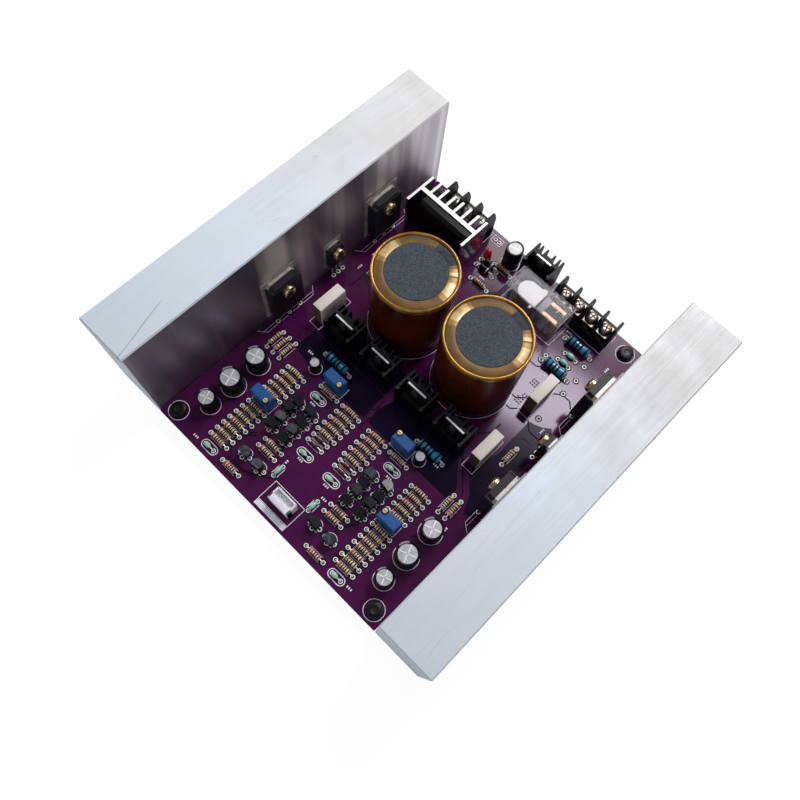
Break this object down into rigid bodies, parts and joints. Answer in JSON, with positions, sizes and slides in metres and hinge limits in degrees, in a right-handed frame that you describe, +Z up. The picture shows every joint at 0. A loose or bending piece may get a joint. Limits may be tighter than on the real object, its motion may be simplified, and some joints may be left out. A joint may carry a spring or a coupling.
{
  "type": "audio amplifier board",
  "caption": "Purple audio power amplifier board between two solid aluminium heat spreader bars, with reservoir capacitors, small finned heatsinks, relay and screw terminals.",
  "frame": {"origin": "on the ground under the middle of the board", "axes": "+X from the left bar to the right bar, +Y from the input connector to the terminal blocks, +Z up"},
  "size_m": [0.1728, 0.167, 0.0528],
  "materials": {
    "circuit_board": "glossy purple solder mask on glass fibre board",
    "bar_aluminium": "mill finish, brushed along its length",
    "gold_sleeve": "glossy gold shrink sleeve",
    "black_sleeve": "glossy black shrink sleeve",
    "ceramic": "matte white ceramic and cement",
    "epoxy": "satin black moulding compound",
    "black_anodised": "black anodised",
    "sink_aluminium": "mill finish with bright cut edges",
    "brass": "bright",
    "trimmer_blue": "satin blue",
    "nickel": "nickel plated",
    "terminal_black": "satin black",
    "clear_cover": "clear moulded plastic",
    "relay_works": "copper winding, white bobbin and black base",
    "contact_copper": "bright copper alloy",
    "white_nylon": "satin white",
    "red_lamp": "red tinted epoxy",
    "black_steel": "black oxide"
  },
  "bodies": {
    "board": {"bias_transistor_left": "epoxy", "bias_transistor_right": "epoxy", "bridge_rectifier": "epoxy", "circuit_board": "circuit_board", "driver_heatsink_1": "black_anodised", "driver_heatsink_2": "black_anodised", "driver_heatsink_3": "black_anodised", "driver_heatsink_4": "black_anodised", "driver_transistor_1": "epoxy", "driver_transistor_2": "epoxy", "driver_transistor_3": "epoxy", "driver_transistor_4": "epoxy", "electrolytic_left_back": "black_sleeve", "electrolytic_left_front": "black_sleeve", "electrolytic_left_middle": "black_sleeve", "electrolytic_right_back": "black_sleeve", "electrolytic_right_front": "black_sleeve", "electrolytic_right_middle": "black_sleeve", "emitter_resistor_left_back": "ceramic", "emitter_resistor_left_front": "ceramic", "emitter_resistor_right_back": "ceramic", "emitter_resistor_right_front": "ceramic", "indicator_lamp": "red_lamp", "input_connector": "white_nylon", "left_heat_spreader_bar": "bar_aluminium", "output_transistor_left_back": "epoxy", "output_transistor_left_front": "epoxy", "output_transistor_right_back": "epoxy", "output_transistor_right_front": "epoxy", "power_terminal_block": "terminal_black", "rectifier_heatsink": "sink_aluminium", "regulator": "epoxy", "regulator_heatsink": "black_anodised", "relay_base": "relay_works", "relay_cover": "clear_cover", "relay_supply_capacitor": "black_sleeve", "reservoir_capacitor_left": "gold_sleeve", "reservoir_capacitor_right": "gold_sleeve", "right_heat_spreader_bar": "bar_aluminium", "speaker_terminal_block": "terminal_black", "standoff_left_back": "black_steel", "standoff_left_front": "black_steel", "standoff_right_back": "black_steel", "standoff_right_front": "black_steel", "trimmer_left_back": "trimmer_blue", "trimmer_left_front": "trimmer_blue", "trimmer_right_back": "trimmer_blue", "trimmer_right_front": "trimmer_blue"},
    "power_terminal_screw_1": {"power_terminal_screw_1": "nickel"},
    "power_terminal_screw_2": {"power_terminal_screw_2": "nickel"},
    "power_terminal_screw_3": {"power_terminal_screw_3": "nickel"},
    "relay_armature": {"relay_armature": "contact_copper"},
    "speaker_terminal_screw_1": {"speaker_terminal_screw_1": "nickel"},
    "speaker_terminal_screw_2": {"speaker_terminal_screw_2": "nickel"},
    "speaker_terminal_screw_3": {"speaker_terminal_screw_3": "nickel"},
    "speaker_terminal_screw_4": {"speaker_terminal_screw_4": "nickel"},
    "trimmer_screw_left_back": {"trimmer_screw_left_back": "brass"},
    "trimmer_screw_left_front": {"trimmer_screw_left_front": "brass"},
    "trimmer_screw_right_back": {"trimmer_screw_right_back": "brass"},
    "trimmer_screw_right_front": {"trimmer_screw_right_front": "brass"}
  },
  "joints": [
    {"name": "trimmer_screw_left_front_turn", "type": "hinge", "parent": "board", "child": "trimmer_screw_left_front", "pos_m": [-0.0321, -0.0513, 0.0169], "axis": [0, 0, 1], "continuous": true},
    {"name": "trimmer_screw_left_back_turn", "type": "hinge", "parent": "board", "child": "trimmer_screw_left_back", "pos_m": [-0.0165, -0.0253, 0.0169], "axis": [0, 0, 1], "continuous": true},
    {"name": "trimmer_screw_right_front_turn", "type": "hinge", "parent": "board", "child": "trimmer_screw_right_front", "pos_m": [0.0338, -0.0491, 0.0169], "axis": [0, 0, 1], "continuous": true},
    {"name": "trimmer_screw_right_back_turn", "type": "hinge", "parent": "board", "child": "trimmer_screw_right_back", "pos_m": [0.0154, -0.0223, 0.0169], "axis": [0, 0, 1], "continuous": true},
    {"name": "power_terminal_screw_1_turn", "type": "hinge", "parent": "board", "child": "power_terminal_screw_1", "pos_m": [-0.0453, 0.0752, 0.016], "axis": [0, 0, 1], "continuous": true},
    {"name": "power_terminal_screw_2_turn", "type": "hinge", "parent": "board", "child": "power_terminal_screw_2", "pos_m": [-0.0376, 0.0752, 0.016], "axis": [0, 0, 1], "continuous": true},
    {"name": "power_terminal_screw_3_turn", "type": "hinge", "parent": "board", "child": "power_terminal_screw_3", "pos_m": [-0.0299, 0.0752, 0.016], "axis": [0, 0, 1], "continuous": true},
    {"name": "speaker_terminal_screw_1_turn", "type": "hinge", "parent": "board", "child": "speaker_terminal_screw_1", "pos_m": [0.021, 0.0752, 0.016], "axis": [0, 0, 1], "continuous": true},
    {"name": "speaker_terminal_screw_2_turn", "type": "hinge", "parent": "board", "child": "speaker_terminal_screw_2", "pos_m": [0.0287, 0.0752, 0.016], "axis": [0, 0, 1], "continuous": true},
    {"name": "speaker_terminal_screw_3_turn", "type": "hinge", "parent": "board", "child": "speaker_terminal_screw_3", "pos_m": [0.0364, 0.0752, 0.016], "axis": [0, 0, 1], "continuous": true},
    {"name": "speaker_terminal_screw_4_turn", "type": "hinge", "parent": "board", "child": "speaker_terminal_screw_4", "pos_m": [0.0441, 0.0752, 0.016], "axis": [0, 0, 1], "continuous": true},
    {"name": "relay_armature_swing", "type": "hinge", "parent": "board", "child": "relay_armature", "pos_m": [0.0178, 0.0634, 0.0181], "axis": [0, 1, 0], "range_deg": [0, 4], "stiffness_Nm_per_rad": 0.02, "springref_deg": -2.86}
  ]
}
